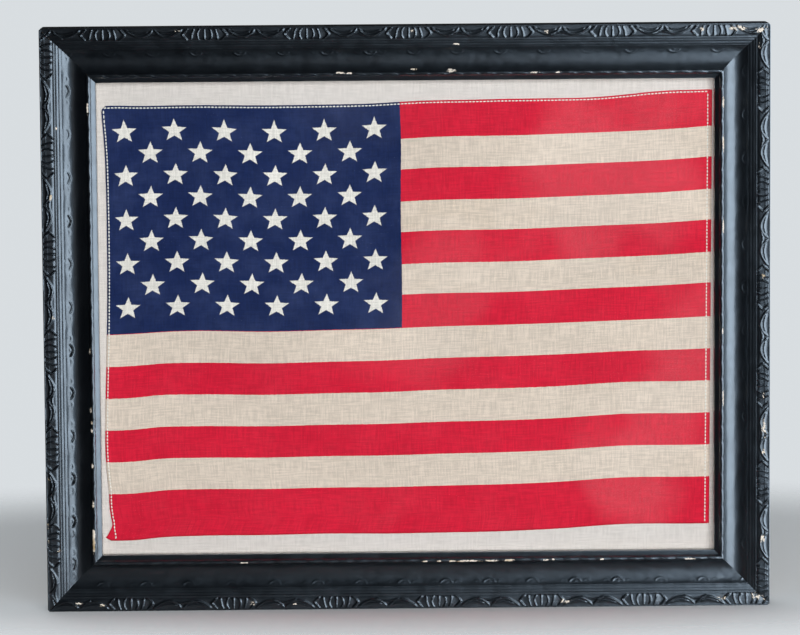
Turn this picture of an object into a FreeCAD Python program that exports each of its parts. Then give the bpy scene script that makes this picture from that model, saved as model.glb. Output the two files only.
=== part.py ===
"""Glazed display case for a flag: a mitred moulding, glass, spacers and a cloth-covered
mount, closed at the back by a board under turn buttons.

Millimetres. +Z is up, +X runs across and the front faces -Y. The origin is the middle of
the case's bottom edge, which is the flat face it stands on.
"""
import FreeCAD, Part
import math
import os
from FreeCAD import Placement, Rotation, Vector

# ---------------------------------------------------------------- driving dimensions
# Flag, a printed cotton sheet lying on the linen
flag_width = 437.0
flag_height = 316.0
flag_thick = 0.6
flag_shift_x = 1.0          # flag's centre from the opening's centre
flag_shift_z = -0.5
flag_top_rise = [(0.0, -6.0), (0.15, -3.5), (0.45, -3.7), (0.53, -1.0), (0.8, 1.3), (1.0, 5.5)]
flag_bottom_rise = [(0.0, -4.5), (0.06, -4.2), (0.12, -1.8), (0.5, -1.5), (0.7, 0.3), (1.0, 4.2)]
flag_left_bulge = [(0.06, 3.5), (0.14, 1.2), (0.3, 0.2), (0.75, 2.2)]

# Glass, an 18 by 14 inch pane cut to suit the flag, and what lies behind it
linen_side = 10.1           # from the flag's edge to the pane's, left and right
linen_end = 19.8            # the same, top and bottom
glass_thick = 2.0
glass_play = 0.5            # room round the pane in its rabbet, each side
spacer_thick = 6.4
spacer_width = 5.0
linen_thick = 0.4
linen_return = 25.0         # linen turned over onto the back of its board
board_thick = 3.2
backing_thick = 3.2
backing_recess = 0.3        # backing board below the moulding's back

# Moulding, widths from the outer edge towards the sight opening
crest_inset = 8.0
band_width = 11.0
reed_width = 2.2
reed_count = 2
cove_width = 14.4
slope_width = 3.2
bead_width = 3.3
fillet_width = 3.7
rabbet_width = 6.4

# Moulding, heights above the rabbet's ledge
crest_rise = 12.7
reed_foot = 8.4
reed_step = 0.6
reed_crown = 0.7
cove_outer_rise = 6.9
cove_bottom_rise = 2.3
cove_inner_rise = 4.1
bead_outer_rise = 7.1
bead_crown = 1.2
bead_inner_rise = 6.7
fillet_rise = 6.0
sight_rise = 3.7

# Corner V-nails, pressed into the back of each mitre
nail_count = 2
nail_first = 14.0           # first nail's place along the mitre
nail_pitch = 16.0
nail_leg = 5.0              # each leg's reach along the mitre
nail_spread = 3.6           # each leg's reach across it
nail_gauge = 0.6
nail_height = 10.0

# Turn buttons and their screws
button_thick = 1.0
button_gap = 0.15           # running gap under and over the plate
button_eye_radius = 5.5
button_tip_radius = 3.2
button_reach = 19.0         # pivot to the tip's centre
button_setback = 8.5        # pivot to the rabbet's edge
button_rib_width = 3.0
button_rib_top = 1.2
button_rib_rise = 0.8
button_rib_start = 6.5      # pivot to the rib's near end
button_spacing = 240.0      # between the two on a long rail
pin_play = 0.1              # radial clearance on every pin and screw shank

# Strap hangers and their D-rings
hanger_height = 290.0       # hinge pin's height above the bottom edge
hanger_inset = 15.0         # strap's centre line to the outer edge
strap_gauge = 0.8
strap_width = 9.0
strap_length = 19.0         # hinge pin to the strap's rounded end
strap_taper = 6.0
strap_hole_back = 12.0      # hinge pin to the screw
ring_wire_radius = 1.2
ring_inner_width = 12.6
ring_inner_length = 11.0
ring_corner = 2.6           # bend radius at the wire's centre line
ring_wire_sides = 8         # flats that the round wire is drawn with

# Screws
screw_radius = 1.4
screw_length = 9.0
screw_head_radius = 3.1
screw_head_rise = 1.8
screw_slot_width = 0.9
screw_slot_depth = 0.8

# Bumpers
bumper_radius = 6.35
bumper_thick = 3.2
bumper_inset = 16.0

# ---------------------------------------------------------------- sizes that follow
glass_width = flag_width + 2 * linen_side
glass_height = flag_height + 2 * linen_end
rail_width = (band_width + reed_count * reed_width + cove_width
              + slope_width + bead_width + fillet_width)
rabbet_depth = (glass_thick + spacer_thick + 2 * linen_thick + board_thick
                + backing_thick + backing_recess)
rail_depth = rabbet_depth + crest_rise
side_height = rail_depth - crest_inset
outer_width = glass_width + 2 * (glass_play - rabbet_width + rail_width)
outer_height = glass_height + 2 * (glass_play - rabbet_width + rail_width)
rail_back_width = rail_width - rabbet_width
middle_z = outer_height / 2
back_y = side_height / 2    # the flat bottom edge is centred on Y = 0

glass_back = rabbet_depth - glass_thick
spacer_back = glass_back - spacer_thick
board_front = spacer_back - linen_thick
board_back = board_front - board_thick
backing_front = board_back - linen_thick

# ---------------------------------------------------------------- small helpers


def rounded_outline(path, place):
    """Face inside a path of flat points, each put in space by place(a, b).

    A step (a, b) is a straight line to that point, and a step (am, bm, a, b) is an arc
    through (am, bm) to (a, b).
    """
    edges = []
    here = place(*path[0])
    for step in path[1:]:
        end = place(*step[-2:])
        if len(step) == 4:
            edges.append(Part.Arc(here, place(*step[:2]), end).toShape())
        else:
            edges.append(Part.LineSegment(here, end).toShape())
        here = end
    return Part.Face(Part.Wire(edges))


def flat(a, b):
    """A point drawn on the XY plane."""
    return Vector(a, b, 0)


def centred_slab(width, height, back, front):
    """Flat sheet in the middle of the case, between two heights above its back."""
    return Part.makeBox(width, front - back, height,
                        Vector(-width / 2, back_y - front, middle_z - height / 2))


def on_back(shape, x, z, turn=0.0):
    """Hardware drawn on XY with +Z outwards, laid on the moulding's back at (x, z).

    Its +Y points up the case, and turns towards +X as turn grows.
    """
    upright = Rotation(Vector(-1, 0, 0), Vector(0, 0, 1), Vector(0, 1, 0), "ZYX")
    laid = shape.copy()
    laid.Placement = Placement(Vector(x, back_y, z), Rotation(Vector(0, 1, 0), turn) * upright)
    return laid


def save(name, shape):
    """Write one named sub-part."""
    shape.exportStep(os.path.join("parts", name + ".step"))


# ---------------------------------------------------------------- moulding


def moulding_profile(start_x, reach):
    """Cross-section of the bottom rail, standing at start_x.

    a runs from the outer edge inwards, b from the back forwards. From the edge come the
    rounded outer band, the reeds, the cove and the raised lip round the sight opening.
    """
    ledge = rabbet_depth
    drop = band_width - crest_inset
    diagonal = math.sqrt(0.5)
    cove_start = band_width + reed_count * reed_width
    slope_start = cove_start + cove_width
    bead_start = slope_start + slope_width
    bead_end = bead_start + bead_width
    path = [
        (0, 0),
        (0, side_height),
        (crest_inset * (1 - diagonal), side_height + crest_inset * diagonal,
         crest_inset, rail_depth),
        (crest_inset + drop * diagonal, rail_depth - drop * (1 - diagonal),
         band_width, rail_depth - drop),
        (band_width, ledge + reed_foot),
    ]
    for reed in range(reed_count):
        left = band_width + reed * reed_width
        low = ledge + reed_foot - (reed + 1) * reed_step
        path.append((left + reed_width / 2, low + reed_step / 2 + reed_crown,
                     left + reed_width, low))
    path += [
        (cove_start, ledge + cove_outer_rise),
        (cove_start + cove_width / 2, ledge + cove_bottom_rise,
         slope_start, ledge + cove_inner_rise),
        (bead_start, ledge + bead_outer_rise),
        (bead_start + bead_width / 2, ledge + bead_outer_rise + bead_crown,
         bead_end, ledge + bead_inner_rise),
        (bead_end, ledge + fillet_rise),
        (rail_width, ledge + sight_rise),
        (rail_width, ledge),
        (rail_back_width, ledge),
        (rail_back_width, 0),
        (0, 0),
    ]
    return rounded_outline(path, lambda a, b: Vector(start_x, back_y - b, a - reach))


def mitred_rail(length, reach, turn):
    """One rail of the given outer length, reach being the middle to its outer edge.

    It is made as the bottom rail about Y and then turned into its place.
    """
    half = length / 2
    bar = moulding_profile(-half, reach).extrude(Vector(length, 0, 0))
    mitres = rounded_outline(
        [(-half, 0), (half, 0), (half - rail_width, rail_width),
         (rail_width - half, rail_width), (-half, 0)],
        lambda x, a: Vector(x, back_y, a - reach))
    rail = bar.common(mitres.extrude(Vector(0, -rail_depth, 0)))
    rail.rotate(Vector(0, 0, 0), Vector(0, 1, 0), turn)
    rail.translate(Vector(0, 0, middle_z))
    return rail


def corner_nails():
    """V-nails across every mitre, their points towards the outer corner."""
    nails = []
    slope = math.sqrt(0.5)
    for side in (-1, 1):
        for end in (-1, 1):
            corner_x = side * outer_width / 2
            corner_z = middle_z + end * outer_height / 2
            for number in range(nail_count):
                start = nail_first + number * nail_pitch

                def place(along, across):
                    reach = start + along
                    return Vector(corner_x - side * slope * (reach + across), back_y,
                                  corner_z - end * slope * (reach - across))

                vee = rounded_outline(
                    [(0, 0), (nail_leg, nail_spread), (nail_leg + nail_gauge, nail_spread),
                     (nail_gauge, 0), (nail_leg + nail_gauge, -nail_spread),
                     (nail_leg, -nail_spread), (0, 0)], place)
                nails.append(vee.extrude(Vector(0, -nail_height, 0)))
    return nails


# ---------------------------------------------------------------- glass, spacers and mount


def spacers():
    """Four strips that hold the glass off the mount, hidden under the lip."""
    span = glass_height - 2 * spacer_width
    shift_x = (glass_width - spacer_width) / 2
    shift_z = (glass_height - spacer_width) / 2
    level = centred_slab(glass_width, spacer_width, spacer_back, glass_back)
    upright = centred_slab(spacer_width, span, spacer_back, glass_back)
    return {
        "spacer_top": level.translated(Vector(0, 0, shift_z)),
        "spacer_bottom": level.translated(Vector(0, 0, -shift_z)),
        "spacer_left": upright.translated(Vector(-shift_x, 0, 0)),
        "spacer_right": upright.translated(Vector(shift_x, 0, 0)),
    }


def mount_board():
    """Board that the linen is stretched over."""
    return centred_slab(glass_width - 2 * linen_thick, glass_height - 2 * linen_thick,
                        board_back, board_front)


def mount_linen():
    """Linen over the board's front and edges, turned over onto its back."""
    cloth = centred_slab(glass_width, glass_height, backing_front, spacer_back)
    window = centred_slab(glass_width - 2 * linen_return, glass_height - 2 * linen_return,
                          backing_front, board_back)
    return cloth.cut(mount_board()).cut(window)


def flag_sheet():
    """The flag, whose cloth is a little out of square and wavy along its edges."""
    left = flag_shift_x - flag_width / 2
    base = middle_z + flag_shift_z - flag_height / 2
    level = back_y - spacer_back

    def curve(points):
        line = Part.BSplineCurve()
        line.interpolate(points)
        return line.toShape()

    def along(share, rise, height):
        return Vector(left + share * flag_width, level, base + height + rise)

    bottom = [along(share, rise, 0) for share, rise in flag_bottom_rise]
    top = [along(share, rise, flag_height) for share, rise in flag_top_rise]
    rising = top[0] - bottom[0]
    hem = [bottom[0] + rising * share + Vector(bulge, 0, 0) for share, bulge in flag_left_bulge]
    edges = [curve(bottom), Part.makeLine(bottom[-1], top[-1]), curve(top[::-1]),
             curve([top[0]] + hem[::-1] + [bottom[0]])]
    return Part.Face(Part.Wire(edges)).extrude(Vector(0, -flag_thick, 0))


# ---------------------------------------------------------------- hardware on the back


def screw(seat):
    """Slotted cheese-head screw along Z, the head's underside at seat."""
    top = seat + screw_head_rise
    profile = rounded_outline(
        [(0, seat - screw_length), (screw_radius, seat - screw_length),
         (screw_radius, seat), (screw_head_radius, seat), (screw_head_radius, top),
         (0, top), (0, seat - screw_length)],
        lambda a, b: Vector(a, 0, b))
    turned = profile.revolve(Vector(0, 0, 0), Vector(0, 0, 1), 360)
    slot = Part.makeBox(2 * screw_head_radius, screw_slot_width, screw_slot_depth,
                        Vector(-screw_head_radius, -screw_slot_width / 2, top - screw_slot_depth))
    return turned.cut(slot)


def turn_button():
    """Teardrop plate with a pressed rib, drawn with its pivot at the origin."""
    lean = math.asin((button_eye_radius - button_tip_radius) / button_reach)
    side, rise = math.cos(lean), math.sin(lean)
    eye = (button_eye_radius * side, button_eye_radius * rise)
    tip = (button_tip_radius * side, button_reach + button_tip_radius * rise)
    plate = rounded_outline(
        [eye, tip, (0, button_reach + button_tip_radius, -tip[0], tip[1]),
         (-eye[0], eye[1]), (0, -button_eye_radius, *eye)], flat)
    plate = plate.extrude(Vector(0, 0, button_thick))
    foot, top = button_rib_width / 2, button_rib_top / 2
    run = foot - top
    rib = Part.makeWedge(-foot, 0, -button_reach, run - button_reach, -top,
                         foot, button_rib_rise, -button_rib_start, -button_rib_start - run, top)
    rib.rotate(Vector(0, 0, 0), Vector(1, 0, 0), 90)
    rib.translate(Vector(0, 0, button_thick))
    plate = plate.fuse(rib).removeSplitter()
    hole = Part.makeCylinder(screw_radius + pin_play, 3 * button_thick,
                             Vector(0, 0, -button_thick))
    return plate.cut(hole).translated(Vector(0, 0, button_gap))


def hanger_strap():
    """Strip folded round the ring's bar, drawn with the bar along X above the origin."""
    barrel = ring_wire_radius + pin_play + strap_gauge
    fold = 2 * strap_gauge
    away = math.hypot(strap_taper, barrel - fold)
    lean = math.pi + math.asin((barrel - fold) / away) - math.acos(barrel / away)
    middle = lean / 2 - math.pi / 4
    profile = rounded_outline(
        [(-strap_length - strap_width, 0), (0, 0),
         (barrel * math.cos(middle), barrel + barrel * math.sin(middle),
          barrel * math.cos(lean), barrel + barrel * math.sin(lean)),
         (-strap_taper, fold), (-strap_length - strap_width, fold),
         (-strap_length - strap_width, 0)],
        lambda a, b: Vector(-strap_width / 2, a, b))
    strap = profile.extrude(Vector(strap_width, 0, 0))
    half = strap_width / 2
    tail = strap_length - half
    plan = rounded_outline(
        [(half, barrel), (-half, barrel), (-half, -tail), (0, -strap_length, half, -tail),
         (half, barrel)], flat)
    strap = strap.common(plan.extrude(Vector(0, 0, 2 * barrel)))
    eye = Part.makeCylinder(ring_wire_radius + pin_play, 2 * strap_width,
                            Vector(-strap_width, 0, barrel), Vector(1, 0, 0))
    hole = Part.makeCylinder(screw_radius, 2 * fold, Vector(0, -strap_hole_back, -fold / 2))
    return strap.cut(eye).cut(hole)


def d_ring():
    """Wire ring whose straight bar lies in the strap's fold, its bow pointing up."""
    level = ring_wire_radius + pin_play + strap_gauge
    half = ring_inner_width / 2 + ring_wire_radius
    leg = ring_inner_length + 2 * ring_wire_radius - half
    bar = half - ring_corner
    step = 2 * math.pi / ring_wire_sides

    def section(a, b, across):
        """The wire's cross-section at (a, b), across being its flat direction."""
        spokes = [(ring_wire_radius * math.cos(step * turn), ring_wire_radius * math.sin(step * turn))
                  for turn in range(ring_wire_sides + 1)]
        return rounded_outline(spokes, lambda reach, rise: Vector(
            a + reach * across.x, b + reach * across.y, level + rise))

    def bend(start, across, centre, sweep):
        return section(*start, across).revolve(centre, Vector(0, 0, 1), sweep)

    sideways, lengthways = Vector(1, 0, 0), Vector(0, 1, 0)
    pieces = [
        bend((bar, 0), lengthways, Vector(bar, ring_corner, level), 90),
        section(half, ring_corner, sideways).extrude(lengthways * (leg - ring_corner)),
        bend((half, leg), sideways, Vector(0, leg, level), 180),
        section(-half, ring_corner, sideways).extrude(lengthways * (leg - ring_corner)),
        bend((-half, ring_corner), sideways, Vector(-bar, ring_corner, level), 90),
    ]
    return section(-bar, 0, lengthways).extrude(sideways * (2 * bar)).fuse(pieces)


def bumper():
    """Round rubber pad."""
    return Part.makeCylinder(bumper_radius, bumper_thick)


# ---------------------------------------------------------------- assembly


def button_places():
    """Where each turn button pivots, as (x, z, turn), its tip towards the backing."""
    inset = rail_back_width - button_setback
    far_x = outer_width / 2 - inset
    near = button_spacing / 2
    return [(-near, outer_height - inset, 180), (near, outer_height - inset, 180),
            (-near, inset, 0), (near, inset, 0),
            (-far_x, middle_z, 90), (far_x, middle_z, -90)]


def main():
    os.makedirs("parts", exist_ok=True)
    parts = {}

    rails = {
        "rail_bottom": mitred_rail(outer_width, outer_height / 2, 0),
        "rail_left": mitred_rail(outer_height, outer_width / 2, 90),
        "rail_top": mitred_rail(outer_width, outer_height / 2, 180),
        "rail_right": mitred_rail(outer_height, outer_width / 2, 270),
    }
    nails = corner_nails()
    parts["corner_v_nails"] = Part.makeCompound(nails)

    parts["glass_pane"] = centred_slab(glass_width, glass_height, glass_back, rabbet_depth)
    parts.update(spacers())
    parts["mount_board"] = mount_board()
    parts["mount_linen"] = mount_linen()
    parts["flag"] = flag_sheet()
    parts["backing_board"] = centred_slab(glass_width, glass_height, backing_recess, backing_front)

    button_screws = []
    for number, place in enumerate(button_places(), start=1):
        parts[f"turn_button_{number}"] = on_back(turn_button(), *place)
        button_screws.append(on_back(screw(2 * button_gap + button_thick), *place))
    parts["turn_button_screws"] = Part.makeCompound(button_screws)

    hanger_screws = []
    for name, side in (("left", -1), ("right", 1)):
        x = side * (outer_width / 2 - hanger_inset)
        parts[f"hanger_strap_{name}"] = on_back(hanger_strap(), x, hanger_height)
        parts[f"hanger_ring_{name}"] = on_back(d_ring(), x, hanger_height)
        hanger_screws.append(on_back(screw(2 * strap_gauge), x, hanger_height - strap_hole_back))
        parts[f"bumper_{name}"] = on_back(bumper(), side * (outer_width / 2 - bumper_inset),
                                          bumper_inset)
    parts["hanger_screws"] = Part.makeCompound(hanger_screws)

    for name, rail in rails.items():
        for piece in nails + button_screws + hanger_screws:
            if rail.BoundBox.intersect(piece.BoundBox):
                rail = rail.cut(piece)
        parts[name] = rail

    for name, shape in parts.items():
        save(name, shape)
        print(f"{name:22s} solids {len(shape.Solids)}  volume {shape.Volume:11.1f}  valid {shape.isValid()}")


if __name__ == "__main__":
    main()
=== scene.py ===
import math

import bmesh
import bpy
import numpy as np
from mathutils import Matrix, Quaternion, Vector


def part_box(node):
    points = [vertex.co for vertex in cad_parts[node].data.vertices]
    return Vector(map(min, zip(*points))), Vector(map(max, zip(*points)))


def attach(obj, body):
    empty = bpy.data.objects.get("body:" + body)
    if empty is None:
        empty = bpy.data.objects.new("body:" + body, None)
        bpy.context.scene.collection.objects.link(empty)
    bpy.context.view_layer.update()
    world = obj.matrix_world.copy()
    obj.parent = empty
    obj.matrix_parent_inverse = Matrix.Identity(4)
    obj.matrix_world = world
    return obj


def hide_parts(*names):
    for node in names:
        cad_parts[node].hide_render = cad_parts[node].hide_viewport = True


bl_info = {
    "name": "Flag display case",
    "version": (1, 0, 0),
    "blender": (4, 5, 0),
    "location": "3D View > Sidebar > Display case",
    "description": "Dresses a glazed display case: carved and painted moulding, linen mount, "
                   "printed cotton flag and the hardware on its back",
    "category": "Add Mesh",
}

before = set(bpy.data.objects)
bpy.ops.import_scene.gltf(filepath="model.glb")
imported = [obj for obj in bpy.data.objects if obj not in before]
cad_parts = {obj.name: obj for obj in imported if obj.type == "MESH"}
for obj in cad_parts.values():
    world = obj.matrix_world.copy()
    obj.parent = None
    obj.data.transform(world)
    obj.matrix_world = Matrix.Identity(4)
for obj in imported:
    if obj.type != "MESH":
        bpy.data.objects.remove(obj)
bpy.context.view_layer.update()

MM = 0.001
CASE_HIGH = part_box("rail_top")[1]
HALF_WIDTH = CASE_HIGH.x                  # outer edge of the side rails, from the middle
MIDDLE_Z = CASE_HIGH.z / 2                # half the case's height
BACK_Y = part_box("rail_bottom")[1].y       # the moulding's flat back
LINEN_LOW, LINEN_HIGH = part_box("mount_linen")
FLAG_LOW, FLAG_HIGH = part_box("flag")
CORNER_PULL = 2.7                         # mm, the flag's top right corner, drawn under the lip
FLAG_WIDTH = FLAG_HIGH.x + CORNER_PULL * MM - FLAG_LOW.x
FLAG_HEIGHT = FLAG_HIGH.z - FLAG_LOW.z


# ---- what a user may change


def size_property(name, text, millimetres):
    """A length that a user may change."""
    return bpy.props.FloatProperty(name=name, description=text, default=millimetres * MM,
                                   unit="LENGTH")


def colour_property(name, text, rgb):
    """A colour that a user may change."""
    return bpy.props.FloatVectorProperty(name=name, description=text, subtype="COLOR", size=3,
                                         min=0.0, max=1.0, default=rgb)


class CaseSizes(bpy.types.PropertyGroup):
    """Sizes of the carving, the cloth and the stitching."""

    carving_depth: size_property(
        "Carving depth", "How far the ground of the outer band lies below its crest", 1.15)
    cove_relief: size_property(
        "Cove relief", "Height of the lidded eyes and leaf tips in the cove", 0.55)
    lip_relief: size_property("Lip relief", "Height of the running leaves on the inner lip", 0.60)
    corner_radius: size_property("Corner wear", "Radius worn onto the four outer corners", 2.4)
    hem_width: size_property("Hem width", "Cloth turned back along the flag's stitched edges", 4.5)
    stitch_length: size_property("Stitch length", "One stitch and the gap after it", 2.6)
    stitch_inset: size_property("Stitch inset", "Stitching line to the flag's edge", 1.5)
    fold_height: size_property(
        "Fold height", "How far the flag's soft folds stand off the linen", 0.55)
    chipping: bpy.props.FloatProperty(
        name="Chipping", description="How much paint is lost along the raised edges",
        default=1.0, min=0.0, max=2.0)


class CaseColours(bpy.types.PropertyGroup):
    """Colours, as linear light."""

    paint: colour_property("Paint", "Black paint of the moulding", (0.0008, 0.0011, 0.0016))
    compo: colour_property("Compo", "Cream ornament bared where the paint is chipped",
                           (0.80, 0.73, 0.63))
    ochre: colour_property("Old gesso", "Yellowed gesso in the deeper chips", (0.48, 0.36, 0.20))
    raw_wood: colour_property("Raw wood", "Bare back of the moulding", (0.52, 0.36, 0.21))
    linen: colour_property("Linen", "Warm light grey cloth of the mount", (0.715, 0.655, 0.645))
    red: colour_property("Red", "Printed red stripes", (0.67, 0.013, 0.042))
    cream: colour_property("Cream", "Unprinted cotton, tanned with age", (0.725, 0.605, 0.525))
    navy: colour_property("Navy", "Printed blue canton", (0.010, 0.020, 0.082))
    thread: colour_property("Thread", "Sewing thread", (0.86, 0.84, 0.80))
    hardboard: colour_property("Hardboard", "Smooth brown backing board", (0.30, 0.165, 0.078))
    floor: colour_property("Floor", "Pale studio floor", (0.66, 0.69, 0.71))


def sizes():
    return bpy.context.scene.case_sizes


def colours():
    return bpy.context.scene.case_colours


def shade(colour, factor):
    """A colour made lighter or darker."""
    return tuple(min(1.0, factor * part) for part in colour)


# ---- node layout

NODE_WIDTH, NODE_HEIGHT, NODES_IN_ROW = 220, 260, 12


def value_or_link(tree, socket, value):
    """Sets a socket, or links it where value is another node's output."""
    value = getattr(value, "socket", value)
    if isinstance(value, bpy.types.NodeSocket):
        tree.links.new(value, socket)
    elif socket.type == "RGBA" and len(value) == 3:
        socket.default_value = (*value, 1.0)
    else:
        socket.default_value = value


def sign(operation, swapped=False):
    """An arithmetic sign between two values, as a Math node."""
    def reckon(self, other):
        return self.lay.maths(operation, *((other, self) if swapped else (self, other)))

    return reckon


class Value:
    """A node's output, which takes part in sums as a number does. a | b is the larger one."""

    def __init__(self, lay, socket):
        self.lay, self.socket = lay, socket

    __add__ = __radd__ = sign("ADD")
    __mul__ = __rmul__ = sign("MULTIPLY")
    __sub__, __rsub__ = sign("SUBTRACT"), sign("SUBTRACT", swapped=True)
    __truediv__ = sign("DIVIDE")
    __lt__, __gt__ = sign("LESS_THAN"), sign("GREATER_THAN")
    __or__ = sign("MAXIMUM")

    def __abs__(self):
        return self.lay.maths("ABSOLUTE", self)


class Layout:
    """Adds nodes to a tree, each with its inputs set or linked."""

    def __init__(self, tree):
        self.tree = tree
        self.count = 0
        self.shader = next((n for n in tree.nodes if n.type == "BSDF_PRINCIPLED"), None)

    def node(self, kind, inputs=None, **settings):
        node = self.tree.nodes.new("ShaderNode" + kind)
        row, place = divmod(self.count, NODES_IN_ROW)
        node.location = (NODE_WIDTH * place, -NODE_HEIGHT * row)
        self.count += 1
        for name, value in settings.items():
            setattr(node, name, value)
        for key, value in (inputs or {}).items():
            value_or_link(self.tree, node.inputs[key], value)
        return node

    def value(self, kind, inputs=None, output=0, **settings):
        """One output of a new node."""
        return Value(self, self.node(kind, inputs, **settings).outputs[output])

    def maths(self, operation, *values, clamp=False):
        return self.value("Math", dict(enumerate(values)), operation=operation, use_clamp=clamp)

    def mix(self, share, first, second, blend="MIX"):
        return self.value("Mix", {0: share, 6: first, 7: second}, 2, data_type="RGBA",
                          blend_type=blend)

    def between(self, value, low, high, start=0.0, end=1.0):
        """value from low..high to start..end, smoothly and clamped."""
        return self.value("MapRange", {0: value, 1: low, 2: high, 3: start, 4: end},
                          interpolation_type="SMOOTHSTEP")

    def noise(self, vector, scale, detail=3.0, rough=0.55, distortion=0.0):
        return self.value("TexNoise", {"Vector": vector, "Scale": scale, "Detail": detail,
                                       "Roughness": rough, "Distortion": distortion})

    def patches(self, vector, noise, *levels):
        """Noise, given its scale and so on, brought between levels."""
        return self.between(self.noise(vector, *noise), *levels)

    def stretched(self, vector, scale, shift=(0, 0, 0)):
        return self.value("Mapping", {"Vector": vector, "Scale": scale, "Location": shift})

    def parts(self, vector):
        """A vector's X, Y and Z."""
        return [Value(self, part) for part in self.node("SeparateXYZ", {0: vector}).outputs]

    def place(self):
        return self.value("TexCoord", output="Object")

    def uv_map(self, name):
        return self.value("UVMap", uv_map=name)

    def attribute(self, name):
        return self.value("Attribute", output="Fac", attribute_name=name)

    def bump(self, height, distance, strength=1.0, normal=None):
        inputs = {"Height": height, "Distance": distance, "Strength": strength}
        if normal is not None:
            inputs["Normal"] = normal
        return self.value("Bump", inputs)

    def feed(self, **inputs):
        """Sets or links the shader's inputs, with _ for the spaces in their names."""
        for name, value in inputs.items():
            value_or_link(self.tree, self.shader.inputs[name.replace("_", " ")], value)

    def let_through(self, share, tint=(1.0, 1.0, 1.0)):
        """Lets share of the light straight through the surface."""
        clear = self.node("BsdfTransparent", {"Color": tint})
        both = self.node("MixShader", {0: share, 1: self.shader.outputs[0], 2: clear.outputs[0]})
        output = next(n for n in self.tree.nodes if n.type == "OUTPUT_MATERIAL")
        self.tree.links.new(both.outputs[0], output.inputs["Surface"])


def new_group(name, outputs, numbers, build):
    """A shader node group: a vector and numbers go in, and build's values come out."""
    tree = bpy.data.node_groups.new(name, "ShaderNodeTree")
    tree.interface.new_socket(name="Vector", in_out="INPUT", socket_type="NodeSocketVector")
    for label, number in numbers.items():
        socket = tree.interface.new_socket(name=label, in_out="INPUT",
                                           socket_type="NodeSocketFloat")
        socket.default_value = number
    for label in outputs:
        tree.interface.new_socket(name=label, in_out="OUTPUT", socket_type="NodeSocketFloat")
    lay = Layout(tree)
    start = tree.nodes.new("NodeGroupInput").outputs
    end = tree.nodes.new("NodeGroupOutput").inputs
    given = (Value(lay, start[label]) for label in ("Vector", *numbers))
    for label, value in zip(outputs, build(lay, *given)):
        value_or_link(tree, end[label], value)
    return tree


def effect(name, outputs, **numbers):
    """Makes build a shader node group that several finishes share, and its call a node of it."""
    def shared(build):
        def group_node(lay, **inputs):
            tree = bpy.data.node_groups.get(name) or new_group(name, outputs, numbers, build)
            node = lay.node("Group", inputs, node_tree=tree)
            return {socket.name: Value(lay, socket) for socket in node.outputs}

        return group_node

    return shared


def finish(build):
    """Makes build a material, of its own name or the one given, laid out once."""
    def give(*values, name=build.__name__):
        made = bpy.data.materials.get(name)
        if made is None:
            made = bpy.data.materials.new(name)
            made.use_nodes = True
            build(Layout(made.node_tree), *values)
        return made

    return give


@effect("weave", ("Height", "Slub"), Pitch=0.0007)
def plain_weave(lay, vector, pitch):
    """Plain weave: each thread passes over one neighbour and under the next."""
    side, up, _ = lay.parts(vector)
    across, along = side / pitch, up / pitch

    def threads(aside, run):
        crown = abs(lay.maths("SINE", aside * math.pi))
        flip = lay.maths("FLOOR", aside) * math.pi
        return crown * (lay.maths("SINE", run * math.pi + flip) * 0.35 + 0.65)

    long_way = lay.noise(lay.stretched(vector, (950.0, 70.0, 1.0)), 1.0, 2.0)
    cross_way = lay.noise(lay.stretched(vector, (70.0, 950.0, 1.0)), 1.0, 2.0)
    height = threads(across, along + 0.5) | threads(along, across + 1.5)
    return height, (long_way + cross_way) * 0.5


@effect("wood_grain", ("Tone", "Fibre"))
def wood_grain(lay, vector):
    """Wood grain along the vector's X: long streaks and darker growth lines."""
    streak = lay.noise(lay.stretched(vector, (9.0, 160.0, 160.0)), 1.0, 5.0, 0.6, 0.4)
    fibre = lay.noise(lay.stretched(vector, (60.0, 1900.0, 1900.0)), 1.0, 2.0)
    rings = lay.value("TexWave", {"Vector": lay.stretched(vector, (1.4, 85.0, 85.0)),
                                  "Scale": 1.0, "Distortion": 11.0, "Detail": 2.0,
                                  "Detail Scale": 1.2}, "Fac",
                      wave_type="BANDS", bands_direction="Y")
    return rings * 0.16 + streak * 0.84, fibre


@effect("paint_chips", ("Mask", "Rim"), Bias=0.0, Scale=420.0)
def paint_chips(lay, vector, bias, scale):
    """Where paint has flaked: a ragged mask wherever the bias rises."""
    flaked = (lay.noise(vector, scale, 4.0, 0.6, 0.6) - 0.5) * 1.7 + bias
    return lay.between(flaked, 0.60, 0.66), lay.between(flaked, 0.46, 0.60)


@effect("dust", ("Film", "Grit"), Hollow=0.5)
def settled_dust(lay, vector, hollow):
    """Fine settled dust and smears, more where hollow is high."""
    smear = lay.patches(vector, (34.0, 4.0, 0.6, 0.5), 0.38, 0.72)
    specks = lay.patches(vector, (1500.0, 2.0, 0.5), 0.66, 0.74)
    return smear * (hollow * 0.7 + 0.3), specks


# ---- finishes

CHIP_SCALE = 760.0                        # how fine the flakes' ragged edges are


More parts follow.
